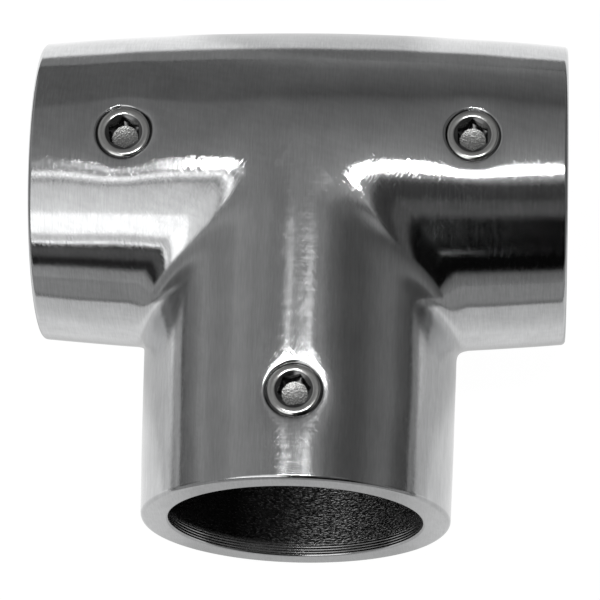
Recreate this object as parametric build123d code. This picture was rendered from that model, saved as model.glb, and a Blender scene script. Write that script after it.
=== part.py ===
from build123d import *
import os
from math import radians, sqrt, tan

# Tube clamp tee: a one-piece polished stainless casting with three hex-socket set screws.
#
# Frame: the origin is where the axis of the run meets the axis of the branch. +X lies along the run,
# -Y points out of the branch's mouth, and +Z is the side that the three set screws are driven from.
# The lengths are in millimetres and the angles in degrees.

# ---- driving dimensions: bores ------------------------------------------------------------------

TUBE_DIAMETER = 25.4
TUBE_GAP = 0.1  # all round, between a tube and its bore
BORE_RADIUS = TUBE_DIAMETER / 2 + TUBE_GAP
BORE_EDGE_ROUND = 0.25

# ---- driving dimensions: casting ----------------------------------------------------------------

RUN_LENGTH = 54.0
RUN_MIDDLE_RADIUS = 16.6  # the run is a slight barrel, fullest where the branch meets it
RUN_END_RADIUS = 15.35

BRANCH_REACH = 35.4  # from the run's axis to the branch's mouth
BRANCH_ROOT_RADIUS = 16.05
BRANCH_MOUTH_RADIUS = 15.6

CROTCH_FILLET = 1.2  # along the seam where the branch leaves the run
RIM_ROUND = 0.45  # outer edges of the three mouths

# ---- driving dimensions: set screws -------------------------------------------------------------

THREAD_RADIUS = 3.0  # M6, drawn at its major radius
SCREW_LENGTH = 2.8
FACE_CHAMFER = 0.5
TIP_CHAMFER = 0.45
CUP_RADIUS = 1.25
CUP_ANGLE = 150.0

KEY_ACROSS_FLATS = 3.0
SOCKET_DEPTH = 1.9
SOCKET_LEAD_IN_RADIUS = 1.9
SOCKET_LEAD_IN_ANGLE = 120.0
SOCKET_FLOOR_DIMPLE_RADIUS = 1.0
SOCKET_FLOOR_DIMPLE_ANGLE = 160.0

TAPPED_HOLE_EDGE_ROUND = 0.35
TIP_SETBACK = 0.1  # each screw is backed out this far from the bore, so that a tube slides in

# The holes are drilled a little off the highest line of each arm.
RUN_SCREW_FROM_CENTRE = 17.45
RUN_SCREW_BEHIND_AXIS = 0.5
BRANCH_SCREW_FROM_RUN_AXIS = 26.35
BRANCH_SCREW_BESIDE_AXIS = 0.4

# Each screw's name, with its x, its y and the turn of its hex from a corner that points to +Y.
SCREWS = {
    "set_screw_left": (-RUN_SCREW_FROM_CENTRE, RUN_SCREW_BEHIND_AXIS, 5.0),
    "set_screw_right": (RUN_SCREW_FROM_CENTRE, RUN_SCREW_BEHIND_AXIS, 1.0),
    "set_screw_branch": (BRANCH_SCREW_BESIDE_AXIS, -BRANCH_SCREW_FROM_RUN_AXIS, -20.0),
}

# ---- tolerance for picking edges by their radius and place --------------------------------------

SAME = 1e-3


def cone_depth(radius, full_angle):
    """Depth of a cone with that base radius and that full angle at its point."""
    return radius / tan(radians(full_angle / 2))


def run_barrel():
    """The run's outer shape, an arc turned about X."""
    half = RUN_LENGTH / 2
    left = (-half, RUN_END_RADIUS)
    right = (half, RUN_END_RADIUS)
    crown = SagittaArc(left, right, RUN_MIDDLE_RADIUS - RUN_END_RADIUS)
    outline = crown + Polyline(right, (half, 0), (-half, 0), left)
    return revolve(make_face(outline), Axis.X, 360)


def branch_barrel():
    """The branch's outer shape from the run's axis to the mouth, an arc turned about Y."""
    root = (BRANCH_ROOT_RADIUS, 0)
    mouth = (BRANCH_MOUTH_RADIUS, -BRANCH_REACH)
    side = TangentArc(root, mouth, tangent=(0, -1))
    outline = side + Polyline(mouth, (0, -BRANCH_REACH), (0, 0), root)
    barrel = revolve(make_face(outline), Axis.Y, 360)
    return Rot(0, 90, 0) * barrel  # puts the seam line underneath, where the crotch is flattest


def outer_shape():
    """The two barrels joined, with the crotch filleted all the way round."""
    body = run_barrel() + branch_barrel()
    crotch = [edge for edge in body.edges() if edge.geom_type not in (GeomType.CIRCLE, GeomType.LINE)]
    return fillet(crotch, CROTCH_FILLET)


def bores():
    """The through bore of the run and the branch's bore, which opens into it."""
    towards_branch = Rot(0, 0, -90)  # turns the seam line of the run's bore to the side that opens
    run_bore = Rot(0, 90, 0) * towards_branch * Cylinder(BORE_RADIUS, RUN_LENGTH)
    branch_bore = Rot(90, 0, 0) * Pos(0, 0, BRANCH_REACH / 2) * Cylinder(BORE_RADIUS, BRANCH_REACH)
    return run_bore + branch_bore


def tapped_holes():
    """The three holes that the set screws fill, from inside the bores to clear of the outside."""
    shank = Cylinder(THREAD_RADIUS, RUN_MIDDLE_RADIUS, align=(Align.CENTER, Align.CENTER, Align.MIN))
    return [Pos(x, y, BORE_RADIUS / 2) * shank for x, y, _turn in SCREWS.values()]


def mouth_edges(body, run_radius, branch_radius):
    """Circular edges with those radii in the end planes of the run and of the branch."""
    picked = []
    for edge in body.edges().filter_by(GeomType.CIRCLE):
        centre = edge.arc_center
        at_run_end = abs(abs(centre.X) - RUN_LENGTH / 2) < SAME and abs(edge.radius - run_radius) < SAME
        at_mouth = abs(centre.Y + BRANCH_REACH) < SAME and abs(edge.radius - branch_radius) < SAME
        if at_run_end or at_mouth:
            picked.append(edge)
    return picked


def tapped_hole_edges(body):
    """Outer edges of the three tapped holes."""
    picked = []
    for x, y, _turn in SCREWS.values():
        for edge in body.edges().filter_by(GeomType.BSPLINE):
            box = edge.bounding_box()
            middle = box.center()
            over_hole = abs(middle.X - x) < SAME and abs(middle.Y - y) < SAME
            outside = box.min.Z > BORE_RADIUS + TIP_SETBACK
            if over_hole and outside:
                picked.append(edge)
    return picked


def tee_body():
    """The casting: outer shape, bores and tapped holes, with the machined edges broken."""
    body = outer_shape() - bores()
    for hole in tapped_holes():
        body -= hole
    body = fillet(mouth_edges(body, RUN_END_RADIUS, BRANCH_MOUTH_RADIUS), RIM_ROUND)
    body = fillet(mouth_edges(body, BORE_RADIUS, BORE_RADIUS), BORE_EDGE_ROUND)
    return fillet(tapped_hole_edges(body), TAPPED_HOLE_EDGE_ROUND)


def screw_blank():
    """A short cup-point screw without its socket, with its tip at z = 0."""
    cup_top = (0, cone_depth(CUP_RADIUS, CUP_ANGLE))
    outline = Polyline(
        cup_top,
        (CUP_RADIUS, 0),
        (THREAD_RADIUS - TIP_CHAMFER, 0),
        (THREAD_RADIUS, TIP_CHAMFER),
        (THREAD_RADIUS, SCREW_LENGTH - FACE_CHAMFER),
        (THREAD_RADIUS - FACE_CHAMFER, SCREW_LENGTH),
        (0, SCREW_LENGTH),
        cup_top,
    )
    return revolve(make_face(Plane.XZ * outline), Axis.Z, 360)


def hex_socket():
    """The space that the key fills: a hexagon with a lead-in at its mouth and a dimple in its floor."""
    floor = SCREW_LENGTH - SOCKET_DEPTH
    hexagon = RegularPolygon(KEY_ACROSS_FLATS / sqrt(3), 6, rotation=30)
    space = extrude(Plane.XY.offset(floor) * hexagon, SOCKET_DEPTH)

    hang_down = (Align.CENTER, Align.CENTER, Align.MAX)
    lead_in_depth = cone_depth(SOCKET_LEAD_IN_RADIUS, SOCKET_LEAD_IN_ANGLE)
    space += Pos(0, 0, SCREW_LENGTH) * Cone(0, SOCKET_LEAD_IN_RADIUS, lead_in_depth, align=hang_down)

    dimple_depth = cone_depth(SOCKET_FLOOR_DIMPLE_RADIUS, SOCKET_FLOOR_DIMPLE_ANGLE)
    dimple = Cone(0, SOCKET_FLOOR_DIMPLE_RADIUS, dimple_depth, align=hang_down)
    return space + Pos(0, 0, floor) * dimple


def main():
    """Builds each piece in its place and writes it as one STEP file."""
    os.makedirs("parts", exist_ok=True)
    pieces = {"tee_body": tee_body()}
    screw = screw_blank() - hex_socket()
    for name, (x, y, turn) in SCREWS.items():
        pieces[name] = Pos(x, y, BORE_RADIUS + TIP_SETBACK) * Rot(0, 0, turn) * screw
    for name, piece in pieces.items():
        piece.label = name
        export_step(piece, f"parts/{name}.step")


main()
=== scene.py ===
import logging
from dataclasses import dataclass
from enum import Enum, IntEnum
from math import pi, radians, sqrt, tan
from typing import Callable

import bpy
import numpy as np
from mathutils import Matrix, Vector


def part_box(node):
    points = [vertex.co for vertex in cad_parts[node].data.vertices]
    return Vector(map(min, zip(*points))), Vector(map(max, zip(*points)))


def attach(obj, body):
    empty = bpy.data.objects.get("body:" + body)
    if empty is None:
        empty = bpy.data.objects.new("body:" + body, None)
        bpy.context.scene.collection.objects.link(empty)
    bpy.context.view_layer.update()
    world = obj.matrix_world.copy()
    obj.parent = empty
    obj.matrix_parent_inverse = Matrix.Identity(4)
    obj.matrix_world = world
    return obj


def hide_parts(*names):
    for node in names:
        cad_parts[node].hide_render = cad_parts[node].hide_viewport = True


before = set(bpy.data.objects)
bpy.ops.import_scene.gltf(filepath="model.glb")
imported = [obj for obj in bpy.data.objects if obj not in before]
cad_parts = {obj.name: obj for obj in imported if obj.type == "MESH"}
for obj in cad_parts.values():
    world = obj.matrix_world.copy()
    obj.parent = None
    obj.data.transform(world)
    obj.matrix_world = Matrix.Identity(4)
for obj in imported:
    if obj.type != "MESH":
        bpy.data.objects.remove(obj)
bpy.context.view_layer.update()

# Tube clamp tee: the looks of a polished stainless casting and its three hex-socket set screws.
#
# Frame: the run lies along X, the branch points to -Y, and the screws are driven from +Z. Shapes are
# worked out in millimetres and put into the meshes in metres.

LOG = logging.getLogger("tube_clamp_tee")

MM = 0.001
WHEEL_WAY = "wheel_way"  # the attribute that says which way a reflection is drawn out

HALVINGS = 46  # of the range in which each ray is searched
OUTER_RADII = (10, 26)  # an arm's outside lies between these distances from its axis
BORE_RADII = (8, 20)  # and its bore between these
OUTER_HEIGHTS = (9, 20)  # the outside round a hole lies between these heights
BORE_HEIGHTS = (5, 16)  # and the bore between these
SHARP_FROM = radians(38)  # an edge of a screw is sharp when its faces are this far apart

Array = np.ndarray
Field = Callable[[Array], Array]
Socket = bpy.types.NodeSocket
Triple = tuple[float, float, float]
Pairs = list[tuple[float, float]]


# ---- arithmetic on whole arrays -----------------------------------------------------------------


def steps(count: int) -> Array:
    """A column of shares that ends at 1, in that many even steps from 0, which is left out."""
    return np.linspace(0, 1, count + 1)[1:, None]


def ramp(distance: Array, softness: float) -> Array:
    """A slope with a rounded start: the mean of the distance and a hyperbola over it.

    Args:
        distance: How far past the start of the slope each point is.
        softness: Half-width of the rounded start.

    Returns:
        The height of the slope.
    """
    return (distance + np.sqrt(distance**2 + softness**2)) / 2


def smooth_step(value: Array, start: float, end: float) -> Array:
    """A share from 0 at start to 1 at end, level at both: 3t squared less 2t cubed.

    Args:
        value: The values to place between start and end.
        start: Where the share leaves 0.
        end: Where the share reaches 1.

    Returns:
        The share at each value.
    """
    t = np.clip((value - start) / (end - start), 0, 1)
    return t * t * (3 - 2 * t)


def smooth_union(first: Array, second: Array, width: Array) -> Array:
    """The lower of two fields, with the crease between them filled over a band of that width.

    The filling is 0.7 of a parabola and 0.3 of a cubic, and both start level at the band's edges.

    Args:
        first: Distance outside the first shape.
        second: Distance outside the second shape.
        width: Difference of the fields at which the filling starts.

    Returns:
        Distance outside the joined shape.
    """
    share = np.clip(1 - np.abs(first - second) / width, 0, 1)
    return np.minimum(first, second) - width * (0.7 * share**2 / 4 + 0.3 * share**3 / 6)


def solve_along(inside: Field, base: Array, step: Array, low: float, high: float) -> Array:
    """Halves the range of every ray at once until each meets the surface where the field is zero.

    Args:
        inside: The field, below zero inside the shape.
        base: Where each ray starts.
        step: What one unit along each ray adds.
        low: A distance along the rays that is inside.
        high: A distance along the rays that is outside.

    Returns:
        The distance along each ray.
    """
    near = np.full(base.shape[:-1], low, float)
    far = np.full(base.shape[:-1], high, float)
    for _halving in range(HALVINGS):
        middle = (near + far) / 2
        below = inside(base + step * middle[..., None]) < 0
        near = np.where(below, middle, near)
        far = np.where(below, far, middle)
    return (near + far) / 2


def slope_of(inside: Field, points: Array) -> Array:
    """Unit normals of a field, from its change over a thousandth of a millimetre each way.

    Args:
        inside: The field.
        points: Where the normals are wanted.

    Returns:
        One unit vector per point.
    """
    reach = 0.001 * np.eye(3)
    parts = [inside(points + along) - inside(points - along) for along in reach]
    normal = np.stack(parts, axis=-1)
    return normal / np.linalg.norm(normal, axis=-1, keepdims=True)


# ---- meshes from grids --------------------------------------------------------------------------


@dataclass
class Grid:
    """A sheet of points in rows and columns, closed across its columns.

    Args:
        points: Rows by columns by 3, in millimetres.
        normals: The normal at each point, or zero where the mesh works it out.
        finish: The material's index for each row of cells.
        kept: Which cells are faces, rows less one by columns.
        flipped: True where rows then columns turn the other way round the outside.
    """

    points: Array
    normals: Array
    finish: Array
    kept: Array
    flipped: bool = False

    @classmethod
    def of(cls, points: Array, finish: int = 0, flipped: bool = False) -> "Grid":
        """Makes a whole sheet in one finish, with its normals left to the mesh.

        Args:
            points: Rows by columns by 3, in millimetres.
            finish: The material's index.
            flipped: True where rows then columns turn the other way round the outside.

        Returns:
            The sheet.
        """
        cells = np.ones((points.shape[0] - 1, points.shape[1]), bool)
        rows = np.full(points.shape[0] - 1, finish)
        return cls(points, np.zeros_like(points), rows, cells, flipped)

    def faces(self) -> tuple[Array, Array]:
        """Corner numbers of the kept cells, and the finish of each.

        Returns:
            The four corners of each cell in turn, and its material's index.
        """
        rows, columns = self.points.shape[:2]
        number = np.arange(rows * columns).reshape(rows, columns)
        across = np.roll(number, -1, axis=1)
        corners = np.stack([number[:-1], across[:-1], across[1:], number[1:]], axis=-1)
        if self.flipped:
            corners = corners[..., ::-1]
        finish = np.broadcast_to(self.finish[:, None], self.kept.shape)
        return corners[self.kept], finish[self.kept]


def mesh_of(name: str, grids: list[Grid], materials: list[bpy.types.Material]) -> bpy.types.Object:
    """Joins sheets into one closed mesh, by merging the points that they share.

    Args:
        name: The object's name.
        grids: The sheets.
        materials: The finishes that the sheets' numbers point to.

    Returns:
        The object, at the origin, with its size in metres.
    """
    points, normals, faces, finishes = [], [], [], []
    start = 0
    for grid in grids:
        corners, finish = grid.faces()
        points.append(grid.points.reshape(-1, 3))
        normals.append(grid.normals.reshape(-1, 3))
        faces.append(corners + start)
        finishes.append(finish)
        start += points[-1].shape[0]
    every_point = np.concatenate(points)
    every_normal = np.concatenate(normals)
    corners = np.concatenate(faces)
    finish = np.concatenate(finishes)

    used = np.unique(corners)
    rounded = np.round(every_point[used], 5) + 0.0
    _, first, again = np.unique(rounded, axis=0, return_index=True, return_inverse=True)
    renumbered = np.zeros(every_point.shape[0], int)
    renumbered[used] = again.ravel()
    corners = renumbered[corners]
    every_point = every_point[used][first]
    every_normal = every_normal[used][first]

    repeated = corners == np.roll(corners, -1, axis=1)
    whole = ~repeated.any(axis=1)
    closing = repeated.sum(axis=1) == 1
    triangles = corners[closing][~repeated[closing]].reshape(-1, 3)
    finish = np.concatenate([finish[whole], finish[closing]])

    mesh = bpy.data.meshes.new(name)
    mesh.from_pydata((every_point * MM).tolist(), [], corners[whole].tolist() + triangles.tolist())
    mesh.polygons.foreach_set("use_smooth", np.ones(len(mesh.polygons), bool))
    mesh.polygons.foreach_set("material_index", finish.astype(np.int32))
    for material in materials:
        mesh.materials.append(material)
    mesh.update()
    if np.any(every_normal):
        mesh.normals_split_custom_set_from_vertices(every_normal.tolist())
    piece = bpy.data.objects.new(name, mesh)
    bpy.context.scene.collection.objects.link(piece)
    return piece


# ---- finishes -----------------------------------------------------------------------------------


class NodeSheet:
    """A material's or a world's nodes, added one after another from left to right."""

    def __init__(self, tree: bpy.types.NodeTree) -> None:
        """Empties the tree.

        Args:
            tree: The material's or the world's nodes and links.
        """
        self.tree = tree
        self.tree.nodes.clear()
        self.count = 0

    def add(self, kind: str, **settings: object) -> bpy.types.Node:
        """Adds a node to the right of the last.

        Args:
            kind: The node's type.
            settings: Its properties.

        Returns:
            The node.
        """
        node = self.tree.nodes.new(kind)
        node.location = (200 * self.count, 0)
        self.count += 1
        for name, value in settings.items():
            setattr(node, name, value)
        return node

    def join(self, output: Socket, target: Socket) -> None:
        """Links an output to an input."""
        self.tree.links.new(output, target)

    def feed(self, target: Socket, value: object) -> None:
        """Gives an input its value.

        Args:
            target: The input.
            value: An output to link, or a plain value.
        """
        if isinstance(value, Socket):
            self.join(value, target)
        else:
            target.default_value = value

    def show(self, shader: bpy.types.Node, kind: str) -> None:
        """Adds the output node of a Material or a World, and links the shader to it."""
        self.join(shader.outputs[0], self.add(f"ShaderNodeOutput{kind}").inputs[0])

    def parts(self, vector: Socket) -> list[Socket]:
        """Adds a node that splits a vector, and gives its X, Y and Z."""
        node = self.add("ShaderNodeSeparateXYZ")
        self.join(vector, node.inputs[0])
        return list(node.outputs)

    def math(self, operation: str, *values: object) -> Socket:
        """Adds a Math node.

        Args:
            operation: Its operation.
            values: Numbers, or outputs to link, for its inputs in turn.

        Returns:
            Its output.
        """
        node = self.add("ShaderNodeMath", operation=operation)
        for socket, value in zip(node.inputs, values):
            self.feed(socket, value)
        return node.outputs[0]

    def times(self, first: object, second: object) -> Socket:
        """Adds a Math node that multiplies two numbers or outputs."""
        return self.math("MULTIPLY", first, second)

    def spread(
        self, value: Socket, low: float, high: float, to_low: float = 0.0, to_high: float = 1.0
    ) -> Socket:
        """Adds a Map Range node that carries one range into another and stops at its ends.

        Args:
            value: What is carried.
            low: Where its range starts.
            high: Where its range ends.
            to_low: What the start becomes.
            to_high: What the end becomes.

        Returns:
            The carried value.
        """
        node = self.add("ShaderNodeMapRange", clamp=True)
        self.join(value, node.inputs["Value"])
        for name, number in zip(("From Min", "From Max", "To Min", "To Max"), (low, high, to_low, to_high)):
            node.inputs[name].default_value = number
        return node.outputs[0]

    def noise(
        self, place: Socket, stretch: Triple, size: float, detail: float, turn: Triple = (0, 0, 0)
    ) -> Socket:
        """Adds a noise texture on turned and stretched coordinates.

        Args:
            place: The coordinates.
            stretch: Scale of each coordinate, small where the noise is drawn out.
            size: Waves of noise per metre.
            detail: How many finer noises are added.
            turn: Turn of the pattern, in radians.

        Returns:
            The noise, from 0 to 1.
        """
        mapping = self.add("ShaderNodeMapping")
        mapping.inputs["Scale"].default_value = stretch
        turned = self.add("ShaderNodeVectorRotate", rotation_type="EULER_XYZ")
        turned.inputs["Rotation"].default_value = turn
        self.join(place, turned.inputs["Vector"])
        self.join(turned.outputs[0], mapping.inputs["Vector"])
        noise = self.add("ShaderNodeTexNoise")
        noise.inputs["Scale"].default_value = size
        noise.inputs["Detail"].default_value = detail
        self.join(mapping.outputs[0], noise.inputs["Vector"])
        return noise.outputs[0]

    def bump(self, height: Socket, depth: float) -> Socket:
        """Adds a Bump node.

        Args:
            height: The relief, from 0 to about 1.
            depth: Height of the relief at 1, in metres.

        Returns:
            The bumped normal.
        """
        node = self.add("ShaderNodeBump")
        node.inputs["Distance"].default_value = depth
        self.join(height, node.inputs["Height"])
        return node.outputs[0]

    def blend(self, share: Socket, first: Socket, second: Socket) -> Socket:
        """Adds a mix of two numbers.

        Args:
            share: The share of the second.
            first: The first number.
            second: The second number.

        Returns:
            The mixed number.
        """
        node = self.add("ShaderNodeMix", data_type="FLOAT")
        for number, value in ((0, share), (2, first), (3, second)):
            self.feed(node.inputs[number], value)
        return node.outputs[0]

    def mix(self, share: Socket, first: object, second: object) -> Socket:
        """Adds a mix of two colours.

        Args:
            share: The share of the second.
            first: An output, or a plain colour with its alpha.
            second: The same.

        Returns:
            The mixed colour.
        """
        node = self.add("ShaderNodeMix", data_type="RGBA")
        for number, value in ((0, share), (6, first), (7, second)):
            self.feed(node.inputs[number], value)
        return node.outputs[2]

    def shades(self, value: Socket, low: float, high: float, table: Pairs) -> Socket:
        """Adds a Color Ramp of greys over a range of the value.

        Args:
            value: What the greys go by.
            low: Where the ramp starts.
            high: Where the ramp ends.
            table: Places between low and high, each with its brightness.

        Returns:
            The ramp's colour.
        """
        node = self.add("ShaderNodeValToRGB")
        elements = node.color_ramp.elements
        while len(elements) < len(table):
            elements.new(0.5)
        for element, (place, bright) in zip(elements, table):
            element.position = (place - low) / (high - low)
            element.color = (bright, bright, bright, 1)
        self.join(self.spread(value, low, high), node.inputs[0])
        return node.outputs[0]


def blank_material(name: str) -> tuple[bpy.types.Material, NodeSheet, Socket, bpy.types.Node]:
    """Starts a material with a principled shader.

    Args:
        name: The material's name.

    Returns:
        The material, its nodes, the coordinates in metres and the shader.
    """
    material = bpy.data.materials.new(name)
    material.use_nodes = True
    sheet = NodeSheet(material.node_tree)
    place = sheet.add("ShaderNodeTexCoord").outputs["Object"]
    shader = sheet.add("ShaderNodeBsdfPrincipled")
    sheet.show(shader, "Material")
    return material, sheet, place, shader


@dataclass(frozen=True)
class Steel:
    """Bare stainless steel: a tint, a range of roughness and a fine grain that is pressed into its surface.

    Args:
        name: The material's name.
        tint: Colour of the metal.
        roughness: Least and most roughness over the surface.
        grain_size: Grains per metre.
        grain_depth: Height of the grain, in metres.
    """

    name: str
    tint: Triple
    roughness: tuple[float, float]
    grain_size: float
    grain_depth: float

    def material(self) -> bpy.types.Material:
        """Builds the node material.

        Returns:
            The material.
        """
        material, sheet, place, steel = blank_material(self.name)
        steel.inputs["Base Color"].default_value = (*self.tint, 1)
        steel.inputs["Metallic"].default_value = 1
        self.dress(sheet, place, steel)
        return material

    def dress(self, sheet: NodeSheet, place: Socket, steel: bpy.types.Node) -> None:
        """Gives the steel its roughness and its grain, from one fine noise.

        Args:
            sheet: The material's nodes.
            place: The coordinates, in metres.
            steel: The shader that is dressed.
        """
        grain = sheet.noise(place, (1, 1, 1), self.grain_size, 4)
        sheet.join(sheet.spread(grain, 0.3, 0.7, *self.roughness), steel.inputs["Roughness"])
        sheet.join(sheet.bump(grain, self.grain_depth), steel.inputs["Normal"])


@dataclass(frozen=True)
class HandPolish(Steel):
    """Steel polished round each arm, so that a lamp's reflection is drawn out along the arm.

    Args:
        drawn_out: How much longer than wide a reflection is, as the shader's anisotropy.
        run_share: How rough the run is as a share of the branch, which was polished more coarsely.
        crease_share: How rough the crease is as a share of the arms, as the wheel hardly reached it.
        crown_aside: How far along X the middle of the smooth crown is, in metres.
        hairlines: How many times rougher the steel is along the wheel's hairlines.
        hairline_depth: Depth of the hairlines, in metres.
        stained: The darkest and the lightest stain, as shares of the tint.
    """

    drawn_out: float = 1.0
    run_share: float = 0.68
    crease_share: float = 0.5
    crown_aside: float = 0.006
    hairlines: float = 1.35
    hairline_depth: float = 1.5e-6
    stained: tuple[float, float] = (0.87, 1.07)

    def dress(self, sheet: NodeSheet, place: Socket, steel: bpy.types.Node) -> None:
        """Lays hairlines and the marks of the wheel, which is kept off the crown between the arms.

        Args:
            sheet: The material's nodes.
            place: The coordinates, in metres.
            steel: The shader that is dressed.
        """
        way = sheet.add("ShaderNodeAttribute", attribute_name=WHEEL_WAY).outputs["Vector"]
        sheet.join(way, steel.inputs["Tangent"])
        steel.inputs["Anisotropic"].default_value = self.drawn_out

        along_run, along_branch, _up = sheet.parts(way)
        on_branch = sheet.spread(sheet.math("ABSOLUTE", along_run), 0.7, 0.0)
        run_marks = sheet.noise(place, (1.0, 0.08, 0.08), self.grain_size, 3)
        branch_marks = sheet.noise(place, (0.06, 1.0, 0.06), self.grain_size, 3)
        marks = sheet.blend(on_branch, run_marks, branch_marks)
        sheet.join(self.colour(sheet, place, on_branch, run_marks), steel.inputs["Base Color"])

        turning = sheet.math("ABSOLUTE", sheet.times(along_run, along_branch))
        creased = sheet.spread(turning, 0.16, 0.5, 1.0, self.crease_share)
        coarser = sheet.spread(on_branch, 0.0, 1.0, self.run_share, 1.0)
        dull = sheet.spread(marks, 0.35, 0.65, *self.roughness)

        hairs = self.hairs(sheet, place)
        sheet.join(sheet.bump(hairs, self.hairline_depth), steel.inputs["Normal"])
        hairy = sheet.spread(hairs, 0.0, 1.0, 0.95, self.hairlines)
        rough = sheet.times(dull, sheet.times(self.worked(sheet, place), coarser))
        rough = sheet.times(rough, sheet.times(creased, hairy))
        sheet.join(rough, steel.inputs["Roughness"])

    def colour(self, sheet: NodeSheet, place: Socket, on_branch: Socket, marks: Socket) -> Socket:
        """Colours the metal by wide stains, by bands across each arm and by the wheel's marks.

        Args:
            sheet: The material's nodes.
            place: The coordinates, in metres.
            on_branch: 1 on the branch and 0 on the run.
            marks: The wheel's marks on the run.

        Returns:
            The colour.
        """
        stains = sheet.noise(place, (1, 1, 1), 260, 7)
        run_bands = sheet.noise(place, (0.25, 1.0, 1.0), 1500, 2, (0, 0, 0.35))
        branch_bands = sheet.noise(place, (1.0, 0.05, 1.0), 1500, 3)
        bands = sheet.blend(on_branch, run_bands, branch_bands)
        dirt = sheet.math("ADD", sheet.math("ADD", stains, sheet.times(bands, 0.6)), marks)
        darkest, lightest = ((*(part * share for part in self.tint), 1) for share in self.stained)
        return sheet.mix(sheet.spread(dirt, 0.95, 1.65), darkest, lightest)

    def worked(self, sheet: NodeSheet, place: Socket) -> Socket:
        """Grades the roughness by the distance from the crown's middle, along X and Y.

        Args:
            sheet: The material's nodes.
            place: The coordinates, in metres.

        Returns:
            A share of the roughness, least on the crown.
        """
        flat = sheet.add("ShaderNodeVectorMath", operation="MULTIPLY_ADD")
        sheet.join(place, flat.inputs[0])
        flat.inputs[1].default_value = (1, 1, 0)
        flat.inputs[2].default_value = (-self.crown_aside, 0, 0)
        from_crown = sheet.add("ShaderNodeVectorMath", operation="LENGTH")
        sheet.join(flat.outputs[0], from_crown.inputs[0])
        return sheet.spread(from_crown.outputs["Value"], 0.008, 0.012, 0.6, 1.0)

    def hairs(self, sheet: NodeSheet, place: Socket) -> Socket:
        """Crosses two sets of long thin noise, and keeps the peaks of the higher one.

        Args:
            sheet: The material's nodes.
            place: The coordinates, in metres.

        Returns:
            The hairlines, from 0 to 1.
        """
        falling = sheet.noise(place, (1.0, 0.06, 0.06), 12000, 2, (0, 0, 0.6))
        rising = sheet.noise(place, (1.0, 0.06, 0.06), 11000, 2, (0, 0, -0.7))
        return sheet.spread(sheet.math("MAXIMUM", falling, rising), 0.5, 0.7)


@dataclass(frozen=True)
class CastBore(Steel):
    """Steel as it left the mould, lumpy and dark, with a turned band just inside each mouth.

    Args:
        run_half: Half the run's length, in metres.
        reach: From the run's axis to the branch's mouth, in metres.
        band: Width of the turned band, in metres.
        ring: Distance between its rings, in metres.
    """

    run_half: float = 0.027
    reach: float = 0.0354
    band: float = 0.0016
    ring: float = 0.00028

    def dress(self, sheet: NodeSheet, place: Socket, steel: bpy.types.Node) -> None:
        """Presses in the mould's grain, and rings where a mouth is near, with painted shade that darkens the
        bore's colour towards the left.

        Args:
            sheet: The material's nodes.
            place: The coordinates, in metres.
            steel: The shader that is dressed.
        """
        x, y, _z = sheet.parts(place)
        past_run = sheet.math("SUBTRACT", sheet.math("ABSOLUTE", x), self.run_half)
        past_branch = sheet.math("SUBTRACT", sheet.times(y, -1.0), self.reach)
        past = sheet.math("MAXIMUM", past_run, past_branch)
        turned = sheet.spread(past, -self.band, -0.6 * self.band)
        rings = sheet.math("SINE", sheet.times(past, 2 * pi / self.ring))
        lumps = sheet.noise(place, (0.7, 1.6, 1.0), self.grain_size, 3)
        height = sheet.blend(turned, sheet.times(lumps, 2.0), sheet.times(rings, 0.25))
        sheet.join(sheet.bump(height, self.grain_depth), steel.inputs["Normal"])
        sheet.join(sheet.spread(lumps, 0.3, 0.7, *self.roughness), steel.inputs["Roughness"])

        scaly = sheet.spread(lumps, 0.42, 0.62, 0.12, 1.0)
        # Painted shade: the bore's colour darkens towards the left, where less light reaches it.
        painted_left_shade = sheet.spread(x, -0.007, 0.003, 0.06, 1.0)
        bare = sheet.math("MAXIMUM", sheet.times(scaly, painted_left_shade), sheet.times(turned, 0.8))
        sheet.join(sheet.mix(bare, (0.01, 0.01, 0.01, 1), (*self.tint, 1)), steel.inputs["Base Color"])


POLISHED = HandPolish("polished_steel", (0.58, 0.585, 0.59), (0.09, 0.13), 7000, 0.0)
CAST_BORE = CastBore("cast_bore", (0.6, 0.6, 0.6), (0.16, 0.3), 4200, 0.00006)
# The holes' thread is cut steel, tinted dark as painted shade of the gap round each screw.
THREAD_PAINTED_SHADE = Steel("cut_thread_painted_shade", (0.22, 0.22, 0.22), (0.15, 0.25), 4000, 0.000004)
SCREW_FACE = Steel("screw_steel", (0.6, 0.6, 0.59), (0.1, 0.2), 3500, 0.000005)
# The screws' thread, chamfer, lead-in and socket wall are tinted dark as painted shade of the gap round each
# screw and of the socket's inside.
SCREW_PAINTED_SHADE = Steel("screw_painted_shade", (0.16, 0.16, 0.16), (0.15, 0.25), 4000, 0.000004)
SOCKET_FLOOR = Steel("socket_floor", (0.32, 0.32, 0.315), (0.2, 0.32), 6500, 0.00003)


class BodyFinish(IntEnum):
    """The casting's finishes, by their place among its materials."""

    POLISHED = 0
    BORE = 1
    # The thread's finish is dark in its colour, as painted shade.
    THREAD = 2


class ScrewFinish(IntEnum):
    """A screw's finishes, by their place among its materials."""

    FACE = 0
    # Painted shade: the dark tint of the thread, the chamfer and the socket's wall.
    DARK = 1
    FLOOR = 2


# ---- the casting --------------------------------------------------------------------------------


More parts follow.
